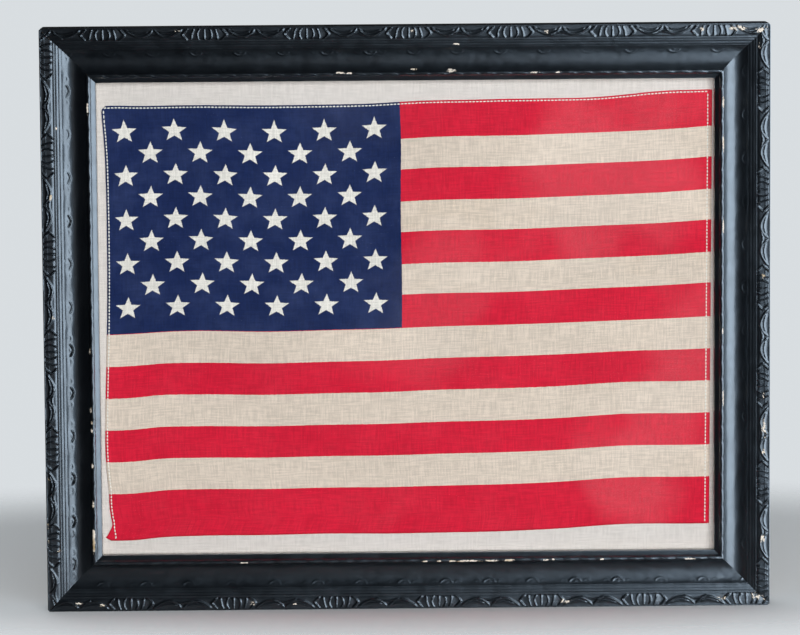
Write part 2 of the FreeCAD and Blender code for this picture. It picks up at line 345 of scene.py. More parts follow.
@finish
def black_paint(lay):
    """Old black paint over pressed ornament, chipped to cream and ochre."""
    place = lay.place()
    chips = paint_chips(lay, Vector=place, Bias=lay.attribute("chips"), Scale=CHIP_SCALE)
    dust = settled_dust(lay, Vector=place, Hollow=lay.attribute("hollow"))
    mottled = lay.patches(place, (55.0, 5.0, 0.6), 0.3, 0.75)
    base = lay.mix(mottled, colours().paint, (0.0014, 0.0018, 0.0026))
    base = lay.mix(dust["Film"] * 0.04, base, (0.035, 0.037, 0.040))
    base = lay.mix(dust["Grit"] * 0.07, base, (0.16, 0.155, 0.15))
    yellowed = lay.patches(place, (95.0, 2.0), 0.50, 0.70)
    bared = lay.mix(yellowed, colours().compo, colours().ochre)
    base = lay.mix(chips["Rim"] * 0.35, base, (0.07, 0.050, 0.030))
    gloss = lay.patches(place, (120.0, 4.0), 0.3, 0.7, 0.36, 0.46) + dust["Film"] * 0.06
    lay.feed(Base_Color=lay.mix(chips["Mask"], base, bared), IOR=1.55,
             Roughness=lay.maths("MULTIPLY_ADD", chips["Mask"], 0.5, gloss, clamp=True),
             Specular_Tint=(0.76, 0.88, 1.0), Specular_IOR_Level=1.0)
    kept = 1.0 - chips["Mask"]
    lay.feed(Coat_Weight=kept * 0.6, Coat_Roughness=0.15, Coat_IOR=1.5)
    brush = lay.noise(place, 900.0, 3.0, 0.6)
    pits = lay.noise(place, 210.0, 3.0, 0.5)
    skin = lay.bump(pits * 0.8 + brush * 0.2, 0.00020, 0.7)
    lay.feed(Normal=lay.bump(kept, 0.0003, 0.8, skin))


@finish
def side_paint(lay):
    """Dull black paint on the outer sides, rubbed and dusty, its base colour lifted well above the
    front paint's as a painted sheen in place of the reflection it is not given.
    """
    place = lay.place()
    chips = paint_chips(lay, Vector=place, Bias=lay.attribute("chips"), Scale=CHIP_SCALE)
    dust = settled_dust(lay, Vector=place, Hollow=0.7)
    rubbed = lay.patches(place, (26.0, 5.0, 0.6), 0.35, 0.70)
    brush = lay.noise(place, 900.0, 3.0, 0.6)
    # painted sheen: both greys are much lighter than the front paint, standing in for the specular
    # reflection that is set to zero below
    base = lay.mix(rubbed, (0.0130, 0.0142, 0.0165), (0.0250, 0.0265, 0.0290))
    base = lay.mix(dust["Film"] * 0.35, base, (0.085, 0.084, 0.080))
    lay.feed(Base_Color=lay.mix(chips["Mask"], base, colours().ochre), Specular_IOR_Level=0.0,
             Roughness=lay.between(brush, 0.3, 0.7, 0.68, 0.82),
             Normal=lay.bump(brush, 0.00015, 0.5))


@finish
def raw_wood(lay):
    """Bare softwood, its grain along the UV map's X."""
    grain = wood_grain(lay, Vector=lay.uv_map("grain"))
    dust = settled_dust(lay, Vector=lay.place(), Hollow=0.6)
    tone = lay.between(grain["Tone"], 0.25, 0.75)
    base = lay.mix(tone, (0.36, 0.215, 0.11), colours().raw_wood)
    lay.feed(Base_Color=lay.mix(dust["Film"] * 0.35, base, (0.20, 0.15, 0.10)),
             Roughness=lay.between(grain["Fibre"], 0.2, 0.8, 0.62, 0.82),
             Normal=lay.bump(grain["Fibre"], 0.0002, 0.5))


@finish
def picture_glass(lay):
    """Thin clear glass that lets the lamps through."""
    film = lay.patches(lay.place(), (14.0,), 0.45, 0.8, 0.0, 0.035)
    lay.feed(Base_Color=(0.965, 0.985, 0.975), Transmission_Weight=1.0, IOR=1.45,
             Specular_IOR_Level=0.35, Roughness=film)
    path = lay.node("LightPath").outputs
    lay.let_through(lay.maths("MAXIMUM", path["Is Shadow Ray"], path["Is Diffuse Ray"]),
                    (0.97, 0.985, 0.98))


@finish
def linen_cloth(lay):
    """Plain-weave linen with thick and thin threads."""
    place = lay.uv_map("threads")
    weave = plain_weave(lay, Vector=place, Pitch=0.00085)
    cloud = lay.patches(place, (9.0,), 0.3, 0.75)
    base = lay.mix(lay.between(weave["Slub"], 0.36, 0.64), shade(colours().linen, 0.90),
                   shade(colours().linen, 1.07))
    base = lay.mix(cloud * 0.10, base, (0.58, 0.52, 0.43))
    # painted shade: the colour darkens in the dips between the threads, where shade would fall
    gap = lay.between(weave["Height"], 0.15, 0.55, 0.12, 0.0)
    height = weave["Slub"] * 0.5 + weave["Height"]
    lay.feed(Base_Color=lay.mix(gap, base, (0.42, 0.37, 0.31)), Specular_IOR_Level=0.12,
             Roughness=lay.between(weave["Slub"], 0.3, 0.7, 0.86, 0.94),
             Normal=lay.bump(height, 0.00008, 0.6))


STRIPE_EDGES = (0.107, 0.181, 0.257, 0.331, 0.405, 0.4795, 0.5555, 0.626, 0.7005, 0.771, 0.8455,
                0.915)                    # where the stripes meet, from the bottom edge up
CANTON_RIGHT = 0.4885                     # canton's right edge, from the flag's left
CANTON_FOOT = 0.4815                      # canton's bottom edge, from the flag's bottom
PRINT_FOOT, PRINT_HEIGHT = 51.9, 313.0    # mm, the print's foot above the floor, and its height
STAR_PITCH = (36.1, 15.9)                 # mm, along a row and from row to row
STAR_FIRST = (15.3, 348.0)                # mm, the first star from the left edge, and its height
STAR_REACH = 9.2                          # mm, a star's middle to its point
STAR_NOTCH = 0.43                         # a star's middle to its notch, over its reach
STAR_SQUASH = 0.90                        # a star's height over its width
STAR_TURN = math.radians(-2.0)
RAGGED_EDGE = 0.0022                      # how far the dye has crept along the threads


def stripe_mask(lay, rise):
    """1 on the red stripes and 0 on the white ones, rise being a share of the flag's height."""
    stripes = lay.node("ValToRGB", {0: rise})
    ramp = stripes.color_ramp
    ramp.interpolation = "CONSTANT"
    ramp.elements[0].position, ramp.elements[0].color = 0.0, (1, 1, 1, 1)
    ramp.elements[1].position, ramp.elements[1].color = STRIPE_EDGES[0], (0, 0, 0, 1)
    for number, edge in enumerate(STRIPE_EDGES[1:]):
        red_here = 1.0 if number % 2 == 0 else 0.0
        ramp.elements.new(edge).color = (red_here, red_here, red_here, 1)
    return Value(lay, stripes.outputs[0])


def star_mask(lay, across, up, first_x, first_z):
    """1 on the stars of every second row, counted from a first star, all in mm."""
    def to_nearest(value, first, pitch):
        steps = (value - first) / pitch
        return (steps - lay.maths("ROUND", steps)) * pitch

    fifth = 2 * math.pi / 5
    dx = to_nearest(across, first_x, STAR_PITCH[0])
    dz = to_nearest(up, first_z, 2 * STAR_PITCH[1]) / STAR_SQUASH
    angle = lay.maths("ARCTAN2", dx, dz) + STAR_TURN
    reach = lay.maths("SQRT", dx * dx + dz * dz)
    folded = abs(lay.maths("FLOORED_MODULO", angle + fifth / 2, fifth) - fifth / 2)
    edge_x = STAR_REACH * (STAR_NOTCH * math.cos(fifth / 2) - 1)
    edge_y = STAR_REACH * STAR_NOTCH * math.sin(fifth / 2)
    length = math.hypot(edge_x, edge_y)
    along = reach * lay.maths("COSINE", folded) - STAR_REACH
    aside = reach * lay.maths("SINE", folded)
    outside = along * (edge_y / length) + aside * (-edge_x / length)
    return lay.between(outside, -0.25, 0.25, 1.0, 0.0)


@finish
def printed_cotton(lay):
    """Cotton printed with thirteen stripes and a canton of staggered stars, tanned with age."""
    place = lay.uv_map("threads")
    weave = plain_weave(lay, Vector=place, Pitch=0.00062)
    ragged = (lay.noise(place, 900.0, 2.0) - 0.5) * RAGGED_EDGE
    share, rise = (part + ragged for part in lay.parts(lay.uv_map("print"))[:2])
    across, up = share * (FLAG_WIDTH / MM), rise * PRINT_HEIGHT + PRINT_FOOT

    (left, top), (pitch, drop) = STAR_FIRST, STAR_PITCH
    long_rows = star_mask(lay, across, up, left, top)
    short_rows = star_mask(lay, across, up, left + pitch / 2, top - drop)
    inside = ((across > left) * (across < left + 5 * pitch)
              * (up < top) * (up > top - 8 * drop))

    stains = lay.patches(lay.stretched(place, (1.0, 1.8, 1.0)), (7.0, 4.0, 0.6, 1.2), 0.52, 0.80)
    cream = lay.mix(stains * 0.34, colours().cream, (0.66, 0.50, 0.36))
    worn = lay.patches(place, (30.0, 5.0, 0.65), 0.35, 0.8)
    red = lay.mix(worn * 0.16, colours().red, (0.78, 0.07, 0.11))
    navy = lay.mix(worn * 0.26, colours().navy, (0.075, 0.105, 0.26))
    field = lay.mix(stripe_mask(lay, rise), cream, red)
    blue = lay.mix(long_rows | short_rows * inside, navy,
                   lay.mix(0.75, cream, (0.84, 0.82, 0.80)))
    base = lay.mix((share < CANTON_RIGHT) * (rise > CANTON_FOOT), field, blue)
    cloud = lay.patches(place, (11.0, 4.0, 0.6), 0.25, 0.75, 0.93, 1.05)
    tone = lay.between(weave["Slub"], 0.36, 0.64, 0.86, 1.12) * cloud
    grey = lay.value("CombineColor", {0: tone, 1: tone, 2: tone})
    # painted shade: the colour darkens toward black in the dips between the threads, where shade
    # would fall
    gap = lay.between(weave["Height"], 0.15, 0.55, 0.12, 0.0)
    wrinkles = lay.noise(lay.stretched(place, (1.0, 0.45, 1.0)), 60.0, 3.0, 0.5, 0.8)
    soft = lay.bump(wrinkles, 0.0009, 0.18)
    height = weave["Slub"] * 0.6 + weave["Height"]
    lay.feed(Base_Color=lay.mix(gap, lay.mix(1.0, base, grey, "MULTIPLY"), (0.0, 0.0, 0.0)),
             Roughness=lay.between(weave["Slub"], 0.3, 0.7, 0.80, 0.92), Specular_IOR_Level=0.12,
             Normal=lay.bump(height, 0.00006, 0.6, soft))


@finish
def sewing_thread(lay):
    """Twisted white thread."""
    twist = lay.noise(lay.place(), 2600.0, 2.0)
    base = lay.mix(lay.between(twist, 0.3, 0.7), shade(colours().thread, 0.82), colours().thread)
    lay.feed(Base_Color=base, Roughness=lay.between(twist, 0.3, 0.7, 0.55, 0.8), Sheen_Weight=0.2)


@finish
def pressed_board(lay, light, dark, scale, gloss):
    """Card or fibreboard: pressed fibres and a soft cloud of tone."""
    place = lay.place()
    fibres = lay.noise(place, scale, 4.0, 0.7, 1.5)
    tone = fibres * 0.85 + lay.noise(place, 12.0, 3.0) * 0.15
    dust = settled_dust(lay, Vector=place, Hollow=0.5)
    base = lay.mix(lay.between(tone, 0.35, 0.65), dark, light)
    lay.feed(Base_Color=lay.mix(dust["Film"] * 0.10, base, (0.40, 0.36, 0.31)),
             Roughness=lay.between(fibres, 0.3, 0.7, gloss, gloss + 0.15),
             Normal=lay.bump(fibres, 0.00012, 0.4))


@finish
def plated_steel(lay, tint, rough_low, rough_high, tarnish):
    """Plated steel with fine scratches and dull patches."""
    place = lay.place()
    dull = lay.patches(place, (190.0, 4.0, 0.65), 0.42, 0.72)
    scratches = lay.noise(lay.stretched(place, (1.0, 1.0, 14.0)), 650.0, 2.0)
    scratched = lay.between(scratches, 0.3, 0.7, rough_low, rough_high)
    lay.feed(Base_Color=lay.mix(dull * tarnish, tint, (0.22, 0.19, 0.15)), Metallic=1.0,
             Roughness=dull * 0.22 + scratched, Normal=lay.bump(scratches, 0.00004, 0.35))


@finish
def bumper_rubber(lay):
    """Black rubber, dusty on its dome."""
    place = lay.place()
    grain = lay.noise(place, 1700.0, 3.0)
    dust = settled_dust(lay, Vector=place, Hollow=0.8)
    lay.feed(Base_Color=lay.mix(dust["Film"] * 0.25, (0.022, 0.022, 0.023), (0.13, 0.12, 0.11)),
             Roughness=lay.between(grain, 0.3, 0.7, 0.55, 0.75),
             Normal=lay.bump(grain, 0.00008, 0.5))


@finish
def floor_paper(lay):
    """Pale paper that fades out away from the case."""
    place = lay.place()
    oval = lay.stretched(place, (0.5, 1.0, 1.0), shift=(0.0, -0.22, 0.0))
    away = lay.value("VectorMath", {0: oval}, "Value", operation="LENGTH")
    fine = lay.noise(place, 300.0, 3.0)
    lay.feed(Base_Color=lay.mix(fine * 0.03, colours().floor, (0.5, 0.5, 0.5)),
             Roughness=lay.between(fine, 0.3, 0.7, 0.75, 0.85), Specular_IOR_Level=0.1)
    lay.let_through(lay.between(away, 0.20, 0.42))


# ---- making pieces

SHARP = math.radians(35)                  # edges that turn more than this stay crisp


def put(name, data):
    """A new object in the scene."""
    made = bpy.data.objects.new(name, data)
    bpy.context.scene.collection.objects.link(made)
    return made


def mesh_from(bm, name):
    """The mesh of a bmesh that is done with."""
    mesh = bpy.data.meshes.new(name)
    bm.to_mesh(mesh)
    bm.free()
    return mesh


def dress(mesh, finishes, body="case", sharp=SHARP):
    """Makes the finished object from its mesh, in place, and lets it ride on its body."""
    piece = put(mesh.name, mesh)
    for each in finishes:
        mesh.materials.append(each)
    mesh.shade_smooth()
    mesh.set_sharp_from_angle(angle=sharp)
    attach(piece, body)
    return piece


def thicken(piece, thickness):
    """Gives a sheet its cloth's thickness, towards the back."""
    cloth = piece.modifiers.new("cloth", "SOLIDIFY")
    cloth.thickness = thickness
    cloth.offset = -1.0


def refinish(node, coat):
    """Gives a CAD node its finish."""
    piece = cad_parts[node]
    piece.data.materials.clear()
    piece.data.materials.append(coat)


def softened_copy(node, name, coat, width, body="case"):
    """A CAD node with its loose triangles joined up and its hard edges rounded off."""
    bm = bmesh.new()
    bm.from_mesh(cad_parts[node].data)
    bmesh.ops.remove_doubles(bm, verts=bm.verts, dist=1e-6)
    bmesh.ops.dissolve_limit(bm, angle_limit=math.radians(1.0), verts=bm.verts, edges=bm.edges)
    hard = [e for e in bm.edges if len(e.link_faces) == 2
            and e.calc_face_angle(0.0) > math.radians(25.0)]
    bmesh.ops.bevel(bm, geom=hard, offset=width, offset_type="OFFSET", affect="EDGES", segments=2,
                    profile=0.5, material=-1, clamp_overlap=True)
    bmesh.ops.triangulate(bm, faces=[f for f in bm.faces if len(f.verts) > 4])
    piece = dress(mesh_from(bm, name), [coat], body)
    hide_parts(node)


def flat_grid(name, wide, high, refine=None):
    """A grid from -1 to 1 each way, refined by the caller, as a mesh and its points."""
    bm = bmesh.new()
    bmesh.ops.create_grid(bm, x_segments=wide, y_segments=high, size=1.0)
    if refine:
        refine(bm)
    mesh = mesh_from(bm, name)
    flat = np.zeros(len(mesh.vertices) * 3)
    mesh.vertices.foreach_get("co", flat)
    return mesh, flat.reshape(-1, 3)


def place_points(mesh, *axes):
    """Moves a mesh's points to X, Y and Z given as arrays."""
    mesh.vertices.foreach_set("co", np.stack(axes, 1).ravel())


def draw_map(mesh, name, across, up):
    """A UV map from values at the points."""
    loops = np.zeros(len(mesh.loops), dtype=int)
    mesh.loops.foreach_get("vertex_index", loops)
    layer = mesh.uv_layers.new(name=name)
    layer.data.foreach_set("uv", np.stack([across, up], 1)[loops].ravel())


def store(mesh, name, values):
    """An attribute from values at the points."""
    layer = mesh.attributes.new(name, "FLOAT", "POINT")
    layer.data.foreach_set("value", np.asarray(values, dtype=np.float32))


# ---- carved moulding

# Cross-section of the moulding in mm: a from the outer edge inwards, b from the back forwards.
# Each run is (zone, points on it, how many steps), three points being an arc through the middle.
# LEDGE is how far the rabbet's floor and FRONT the crest stand before the back. SIGHT is the edge
# of the opening, and RABBET the wall that the glass lies in.
LEDGE, FRONT, SIGHT, RABBET = 15.9, 28.6, 40.0, 33.6
SECTION = (
    ("back", ((RABBET, 0.0), (0.0, 0.0)), 1),
    ("side", ((0.0, 0.0), (0.0, 23.5)), 1),
    ("side", ((0.0, 23.5), (0.0, 27.7)), 2),
    ("band", ((0.0, 27.7), (0.25, 28.35), (0.9, FRONT)), 4),
    ("band", ((0.9, FRONT), (7.2, 27.9)), 16),
    ("band", ((7.2, 27.9), (9.5, 26.9), (10.9, 25.2)), 9),
    ("reeds", ((10.9, 25.2), (11.0, 24.85)), 1),
    ("reeds", ((11.0, 24.85), (12.2, 24.5), (13.25, 23.75)), 4),
    ("reeds", ((13.4, 23.75), (14.5, 23.3), (15.5, 22.55)), 4),
    ("cove", ((15.65, 22.55), (23.4, 18.3), (32.6, 21.9)), 38),
    ("lip", ((32.7, 22.2), (34.4, 23.7), (36.3, 22.5)), 9),
    ("lip", ((36.3, 22.1), (SIGHT, 19.6)), 6),
    ("sight", ((SIGHT, 19.6), (SIGHT, LEDGE)), 1),
    ("rabbet", ((SIGHT, LEDGE), (RABBET, LEDGE)), 1),
    ("rabbet", ((RABBET, LEDGE), (RABBET, 0.0)), 1),
)
BAND_MIDDLE, BAND_REACH = 5.3, 4.5        # mm, the carved band's middle line and half its height
EYE_PITCH = 31.3                          # mm from eye to eye along the cove
LEAF_PITCH = 11.7                         # mm from leaf to leaf along the lip


def arc_points(first, middle, last, steps):
    """Points on the circular arc through three points."""
    (ax, ay), (bx, by), (cx, cy) = first, middle, last
    d = 2 * (ax * (by - cy) + bx * (cy - ay) + cx * (ay - by))
    a2, b2, c2 = ax * ax + ay * ay, bx * bx + by * by, cx * cx + cy * cy
    ox = (a2 * (by - cy) + b2 * (cy - ay) + c2 * (ay - by)) / d
    oy = (a2 * (cx - bx) + b2 * (ax - cx) + c2 * (bx - ax)) / d
    turns = np.unwrap([math.atan2(y - oy, x - ox) for x, y in (first, middle, last)])
    sweep = np.linspace(turns[0], turns[2], steps + 1)
    radius = math.hypot(ax - ox, ay - oy)
    return np.stack([ox + radius * np.cos(sweep), oy + radius * np.sin(sweep)], 1)


def moulding_section():
    """Points round the section, outward directions, zones and the width gone round so far."""
    line, zones = [], []
    for zone, points, steps in SECTION:
        run = (arc_points(*points, steps) if len(points) == 3
               else np.linspace(points[0], points[1], steps + 1))
        if line and np.allclose(line[-1], run[0]):
            run = run[1:]
        line.extend(run)
        zones.extend([zone] * len(run))
    line = np.array(line)
    slope = np.gradient(line, axis=0)
    slope /= np.linalg.norm(slope, axis=1)[:, None]
    outward = np.stack([-slope[:, 1], slope[:, 0]], 1)
    gone = np.concatenate([[0], np.cumsum(np.linalg.norm(np.diff(line, axis=0), axis=1))])
    return line, outward, np.array(zones), gone


def ridge(distance, width):
    """A rounded ridge, 1 on its line and falling away on both sides."""
    return np.exp(-(distance / width) ** 2)


def ridges(value, *rows):
    """Ridges added up, each row a height, where it stands and its width."""
    return sum(height * ridge(value - at, width) for height, at, width in rows)


def step(value, low, high):
    """0 below low, 1 above high, and smooth between."""
    share = np.clip((value - low) / (high - low), 0, 1)
    return share * share * (3 - 2 * share)


def band_carving(x, a, first, pitch):
    """Height from 0, the ground, to 1, the crest: fluted palmettes with paired loops between."""
    side = np.abs((x - first + pitch / 2) % pitch - pitch / 2)
    up = (a - BAND_MIDDLE) / BAND_REACH       # -1 at the outer edge, 1 next to the reeds
    bow = 1 - np.clip(np.abs(up), 0, 1) ** 2
    inside = 1 - step(np.abs(up), 0.86, 1.04)

    palm = 0.25 * (1 - step(side, 9.0, 13.0)) * inside
    flutes = ((0.3 * up, 0.62), (3.2 + 1.9 * bow, 0.62), (8.3 + 1.0 * up + 0.6 * bow, 0.60),
              (11.9 + 4.3 * (1 - np.sqrt(up ** 2 + 0.01)), 0.72))
    for line, width in flutes:
        palm = np.maximum(palm, ridge(side - line, width) * inside)

    from_gap = pitch / 2 - side
    share = np.clip(from_gap / (pitch / 2 - 15.5), 0, 1)
    swing = np.sin(math.pi * share ** 0.85)
    loops = np.zeros_like(x)
    for drop, width, height, start in ((0.0, 0.80, 1.0, 0.0), (2.4, 0.60, 0.8, 0.16)):
        part = step(share, start, start + 0.1) * (1 - step(share, 0.90 - start, 1.0 - start))
        line = 1.2 + (5.6 - drop) * swing
        loops = np.maximum(loops, height * ridge(a - line, width) * part)

    arch = 8.3 - 2.6 * np.cos(np.clip(from_gap / 9.5, 0, 1) * math.pi / 2)
    small = 0.9 * ridge(a - arch, 0.60) * (1 - step(from_gap, 7.5, 9.0))
    return np.clip(np.maximum.reduce([palm, loops, small]), 0, 1)


def cove_carving(x, a, first):
    """Lidded eyes in fine raised lines along the cove, with small leaf tips between them."""
    from_eye = (x - first + EYE_PITCH / 2) % EYE_PITCH - EYE_PITCH / 2
    near = 0.5 + 0.5 * np.cos(2 * math.pi * from_eye / EYE_PITCH)
    swell = 0.4 * near * ridge(a - 18.6, 2.6)
    lid = 17.6 + 2.2 * np.clip(1 - (from_eye / 4.6) ** 2, 0, 1)
    lids = 2.0 * ridge(a - lid, 0.60) * (1 - step(np.abs(from_eye), 3.8, 5.0))
    pupil = 0.9 * ridge(np.hypot(from_eye / 1.6, a - 17.9), 0.7)
    tip = np.abs(np.abs(from_eye) - 8.6)
    tips = 0.6 * ridge(a - 17.7 - 1.3 * np.clip(1 - (tip / 2.6) ** 2, 0, 1), 0.5) \
        * (1 - step(tip, 2.0, 3.0))
    worn = 0.65 + 0.35 * np.sin(0.021 * x + 1.3) * np.sin(0.037 * x)
    return swell + np.maximum.reduce([lids, pupil, tips]) * worn


def lip_carving(x, a, first):
    """Running leaf tips on the lip's bead and fine lines beside it."""
    turn = ((x - first + 1.5 * (a - 34.6)) / LEAF_PITCH) % 1.0
    leaf = np.power(1 - turn, 0.7) * step(turn, 0.0, 0.07) * ridge(a - 34.0, 1.6)
    vein = 0.35 * ridge(turn - 0.45, 0.12) * ridge(a - 34.3, 1.1)
    return leaf + vein - ridges(a, (0.25, 37.3, 0.33), (0.2, 38.9, 0.3))


def unevenness(x, a, seed):
    """Slow waviness of hand-pressed ornament, from -1 to 1."""
    total = np.zeros_like(x)
    for number, (wave, weight) in enumerate(((46.0, 0.5), (19.0, 0.3), (7.3, 0.2))):
        turn = seed * 1.7 + number * 2.1
        total += weight * np.sin(2 * math.pi * x / wave + turn + 0.35 * a) \
            * np.cos(0.5 * a + 1.3 * turn)
    return total


RAIL_STEP = 0.84                          # mm between points along a rail, half that on the band

# Rails: turn about Y in degrees, the first palmette and the palmettes' pitch, the first eye, how
# far inwards the eyes sit and how high they stand, and chips as (x, a, length, width), all in mm.
RAILS = {
    "bottom": dict(
        turn=0, palm=21.7, pitch=74.65, eye=-3.8, inwards=0.0, eyes=0.6,
        chips=((253, 7, 9, 5), (113, 4.5, 8, 4), (228, 6, 7, 4), (43, 34, 17, 1.6),
               (-114, 5, 5, 3.5), (73, 34.3, 9, 1.8), (60, 34, 8, 1.6), (31, 34, 5, 1.8),
               (141, 34.4, 5, 1.5), (100, 34.2, 5, 1.5), (106, 34.6, 4, 1.4), (-83, 4, 3, 1.6),
               (12, 34, 5, 1.3), (22, 34, 4, 1.3), (205, 34, 8, 1.3), (-120, 34, 6, 1.2),
               (-240, 6, 5, 1.7), (-223, 4.5, 4, 2.2))),
    "left": dict(
        turn=90, palm=21.6, pitch=70.9, eye=-10.0, inwards=0.6, eyes=1.0,
        chips=((163, 34, 14, 2.2), (134, 33.8, 5, 2), (167.5, 9, 5, 3.6), (22, 33, 5, 1.4),
               (65, 33, 4, 1.8), (-140, 11.4, 3, 2), (-3, 7.5, 3, 2.4), (-154, 34, 10, 1.4),
               (-90, 7, 6, 2), (106, 33.8, 3.4, 2), (80, 33.8, 3, 1.6), (74, 33.8, 2.6, 1.5),
               (155, 34, 5, 2), (115, 2, 4, 2.2), (148, 1.0, 9, 1.6), (160, 1.0, 6, 1.6))),
    "top": dict(
        turn=180, palm=-2.5, pitch=73.2, eye=-6.0, inwards=0.9, eyes=0.6,
        chips=((-241, 3.5, 10, 4), (-256, 5, 8, 4), (-33, 32.5, 6, 3), (-102, 5, 5, 2.6),
               (-213, 4, 5, 3.5), (-37, 13.6, 5, 2), (-234, 4, 4, 3), (-5, 3.5, 4, 3),
               (47, 33.6, 6, 1.5), (40, 34, 6, 1.3), (-6, 31.6, 7, 1.3), (164, 2, 5, 2),
               (-93, 34.5, 8, 1.2), (-110, 34.5, 5, 1.2))),
    "right": dict(
        turn=270, palm=20.7, pitch=71.4, eye=-11.0, inwards=0.0, eyes=0.6,
        chips=((-82, 4, 15, 4), (-163, 5, 5, 3), (-99, 4.6, 5, 2.6), (208, 2.6, 4, 2),
               (-11, 34, 6, 1.1), (-58, 4.6, 4, 1.6), (155, 33.6, 8, 1.5), (30, 5, 6, 2.4),
               (125, 33.6, 12, 1.3), (65, 33.6, 10, 1.4), (-60, 33.6, 12, 1.1),
               (-208, 5, 8, 3.5), (196, 8, 5, 3))),
}


def from_outer_edge(point, plan):
    """mm from the rail's outer edge to a point."""
    if plan["turn"] % 180:
        return (HALF_WIDTH - abs(point.x)) / MM
    return (MIDDLE_Z - abs(point.z - MIDDLE_Z)) / MM


def close_rail(mesh, plan):
    """Joins the seam, fills the mitres and sorts the faces: carved front, bare wood and side."""
    bm = bmesh.new()
    bm.from_mesh(mesh)
    bmesh.ops.remove_doubles(bm, verts=bm.verts, dist=1e-7)
    bmesh.ops.holes_fill(bm, edges=[e for e in bm.edges if e.is_boundary], sides=0)
    bmesh.ops.recalc_face_normals(bm, faces=bm.faces)
    for face in bm.faces:
        middle = face.calc_center_median()
        deep, across = (BACK_Y - middle.y) / MM, from_outer_edge(middle, plan)
        mitre = len(face.verts) > 8
        bare = deep < 0.05 or (deep < LEDGE + 0.05 and across > RABBET - 0.1) or mitre
        outer = 0.05 < deep < 27.4 and across < 0.3
        face.material_index = 1 if bare else 2 if outer else 0
    bm.to_mesh(mesh)
    bm.free()


def carve_rail(side, plan):
    """One mitred rail: a grid wrapped round the section, carved, closed at its mitres."""
    line, outward, zones, gone = moulding_section()
    last = len(line) - 1
    half, reach = HALF_WIDTH / MM, MIDDLE_Z / MM
    if plan["turn"] % 180:
        half, reach = reach, half

    def refine_band(bm):
        rows = np.flatnonzero(zones == "band")
        low, high = (2 * rows[[0, -1]] - 1) / last - 1 + np.array([0, 2]) / last
        finer = [e for e in bm.edges if low < e.verts[0].co.y < high
                 and abs(e.verts[0].co.y - e.verts[1].co.y) < 1e-5]
        bmesh.ops.subdivide_edges(bm, edges=finer, cuts=1, use_grid_fill=True)

    mesh, flat = flat_grid(f"carved_rail_{side}", int(2 * half / RAIL_STEP), last, refine_band)
    share = flat[:, 0]
    row = np.rint((flat[:, 1] + 1) / 2 * last).astype(int)
    a, b = line[row, 0].copy(), line[row, 1].copy()
    zone = zones[row]
    x = share * (half - a)

    band, cove, lip = zone == "band", zone == "cove", zone == "lip"
    carving = band_carving(x, a, plan["palm"], plan["pitch"])
    # the ground comes up to the crest at both edges of the band
    sunk = np.where(a < 4, step(b, 27.7, 28.5), 1 - step(a, 9.8, 10.8))
    height = np.where(band, -sizes().carving_depth / MM * (1 - carving) * sunk, 0.0)
    eyes = cove_carving(x, a - plan["inwards"], plan["eye"]) * step(a, 15.8, 17.0)
    height += np.where(cove, sizes().cove_relief / MM * plan["eyes"] * eyes, 0.0)
    height += np.where(lip, sizes().lip_relief / MM * (lip_carving(x, a, plan["eye"]) - 0.5), 0.0)
    painted = ~np.isin(zone, ("back", "rabbet"))
    height += np.where(painted, 0.10 * unevenness(x, a, plan["turn"]) * step(b, 4.0, 9.0), 0.0)
    a = a + height * outward[row, 0]
    b = b + height * outward[row, 1]

    # the outer corners are rounded by wear
    from_end = half * (1 - np.abs(share))
    radius = sizes().corner_radius / MM
    worn = radius - np.sqrt(np.clip(
        radius ** 2 - np.clip(radius - from_end, 0, radius) ** 2, 0, None))
    a = np.maximum(a, 0.0) + np.where(a < 8, 0.30 * worn * (1 - a / 8), 0.0)
    b = np.minimum(b, FRONT)

    x = share * (half - a)
    z = a - reach
    angle = math.radians(plan["turn"])
    cos, sin = round(math.cos(angle)), round(math.sin(angle))
    place_points(mesh, (x * cos + z * sin) * MM, (BACK_Y / MM - b) * MM,
                 (-x * sin + z * cos + MIDDLE_Z / MM) * MM)

    # paint is lost along the crests, and where a chip is listed
    patch = unevenness(x * 0.5, a * 0.1, plan["turn"] + 3)
    crests = ridge(a - 5.0, 4.0) * band * carving + 1.05 * ridge(a - 33.4, 0.8) * lip
    bias = 0.17 * crests * (1 + 0.8 * patch)
    relief = np.where(band, 0.68 + 0.32 * carving, 1.0)
    for at_x, at_a, length, width in plan["chips"]:
        near = ((x - at_x) / (0.60 * length)) ** 2 + ((a - at_a) / (0.60 * width)) ** 2
        bias += 0.78 * np.exp(-near ** 1.5) * relief * painted
    store(mesh, "chips", np.clip(bias * sizes().chipping, 0, 1))
    store(mesh, "hollow", np.where(band, 1 - carving, np.where(cove, 0.75, 0.35)))
    draw_map(mesh, "grain", x * MM, gone[row] * MM)

    close_rail(mesh, plan)
    piece = dress(mesh, [black_paint(), raw_wood(), side_paint()],
                  sharp=math.radians(50))
    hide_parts(f"rail_{side}")


# ---- cloth


def flag_border(outward, axis):
    """The flag's border on one side, as arrays along that axis and across it, from the frame."""
    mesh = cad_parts["flag"].data
    rim = {v for face in mesh.polygons if face.normal.dot(outward) > 0.7 for v in face.vertices}
    points = np.array([mesh.vertices[v].co for v in rim])
    points = points[np.argsort(points[:, axis])]
    return points[:, axis], points[:, 2 - axis]


FLAG_TOP = flag_border(Vector((0, 0, 1)), 0)
FLAG_FOOT = flag_border(Vector((0, 0, -1)), 0)
FLAG_SIDE = flag_border(Vector((-1, 0, 0)), 2)
COTTON_THICK, LINEN_THICK = 0.35 * MM, 0.3 * MM
TURNOVER = 25 * MM                        # linen folded onto the board's back
FLAG_GRID = 230, 168                      # cells across the flag and up it
SEAM_PROUD = 0.22 * MM                    # how far a hem stands off the single cloth
STITCH_WIDE, STITCH_THICK = 1.1 * MM, 0.8 * MM
STITCH_RISE = 0.004                       # share of the height left unsewn at the flag's foot


